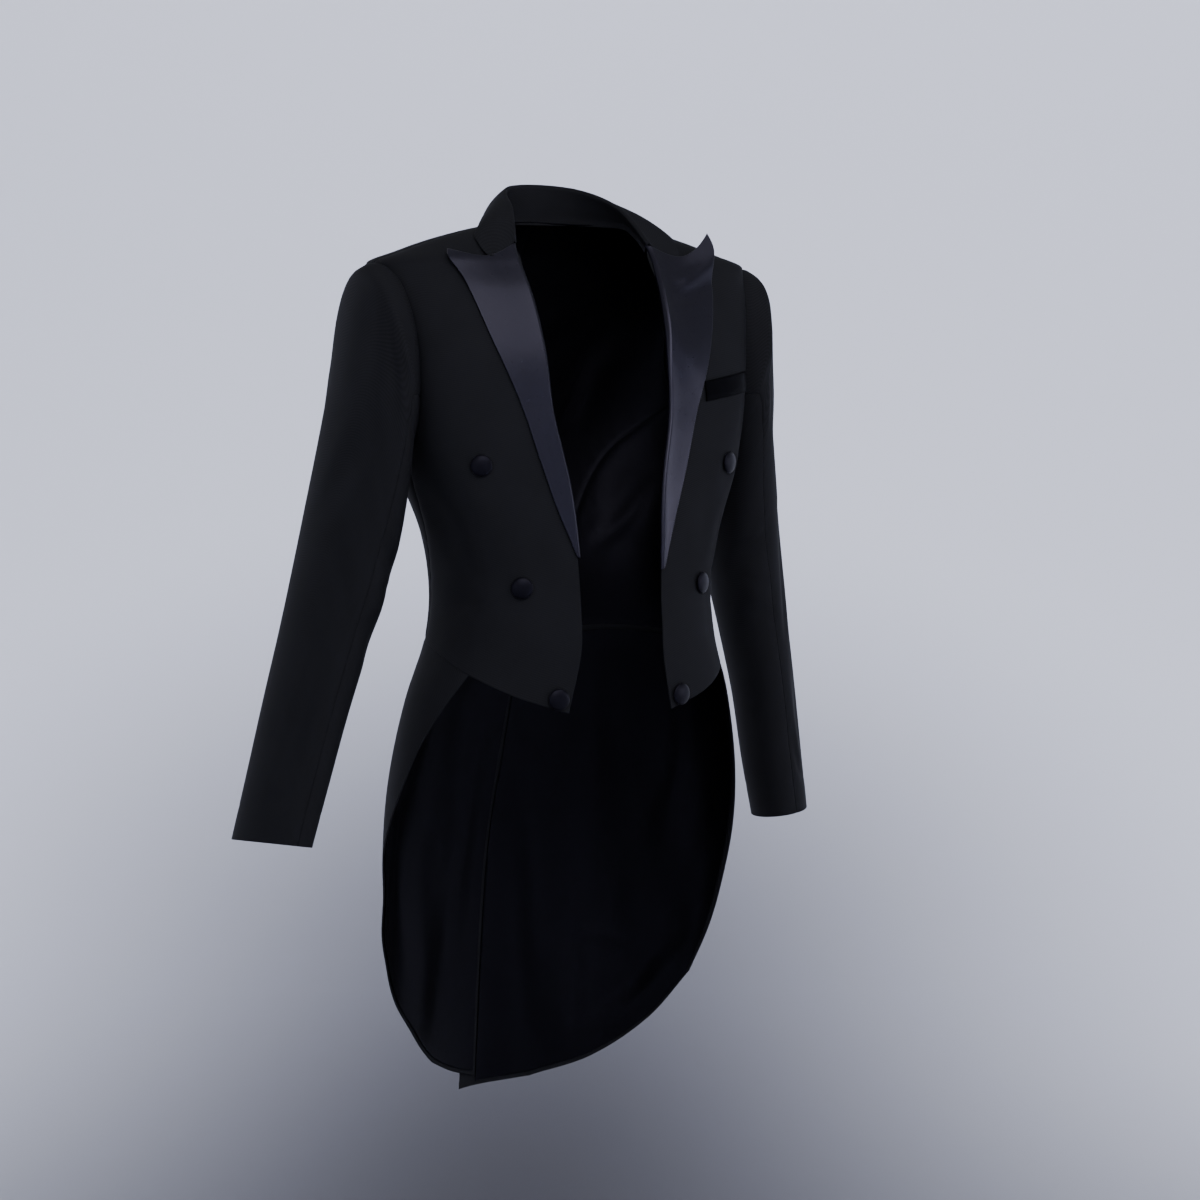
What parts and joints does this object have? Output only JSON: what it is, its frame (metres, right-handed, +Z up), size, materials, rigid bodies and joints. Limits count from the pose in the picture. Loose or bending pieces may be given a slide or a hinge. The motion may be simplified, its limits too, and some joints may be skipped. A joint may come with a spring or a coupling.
{
  "type": "tailcoat",
  "caption": "Hollow, worn-form evening tailcoat with peaked satin lapels, cut-away fronts, long sleeves and two rounded tails.",
  "frame": {"origin": "middle of the neck opening, level with the points where the shoulder seams meet the collar", "axes": "+Z up, -Y the way the wearer faces, +X towards the wearer's left hand"},
  "size_m": [0.711, 0.3183, 0.9986],
  "materials": {
    "wool_blend_suiting": "matt worsted twill",
    "lapel_satin": "smooth satin sheen",
    "tail_lining": "lining satin",
    "button_satin": "satin, covered"
  },
  "bodies": {
    "root": {"front_right": "wool_blend_suiting", "side_body_right": "wool_blend_suiting", "back_right": "wool_blend_suiting", "skirt_right": "wool_blend_suiting", "top_sleeve_right": "wool_blend_suiting", "under_sleeve_right": "wool_blend_suiting", "tail_lining_right": "tail_lining", "lapel_right": "lapel_satin", "button_right_top": "button_satin", "button_right_middle": "button_satin", "button_right_low": "button_satin", "front_left": "wool_blend_suiting", "side_body_left": "wool_blend_suiting", "back_left": "wool_blend_suiting", "skirt_left": "wool_blend_suiting", "top_sleeve_left": "wool_blend_suiting", "under_sleeve_left": "wool_blend_suiting", "tail_lining_left": "tail_lining", "lapel_left": "lapel_satin", "button_left_top": "button_satin", "button_left_middle": "button_satin", "button_left_low": "button_satin", "collar_leaf": "wool_blend_suiting", "collar_stand": "wool_blend_suiting", "breast_welt": "lapel_satin"}
  },
  "joints": []
}
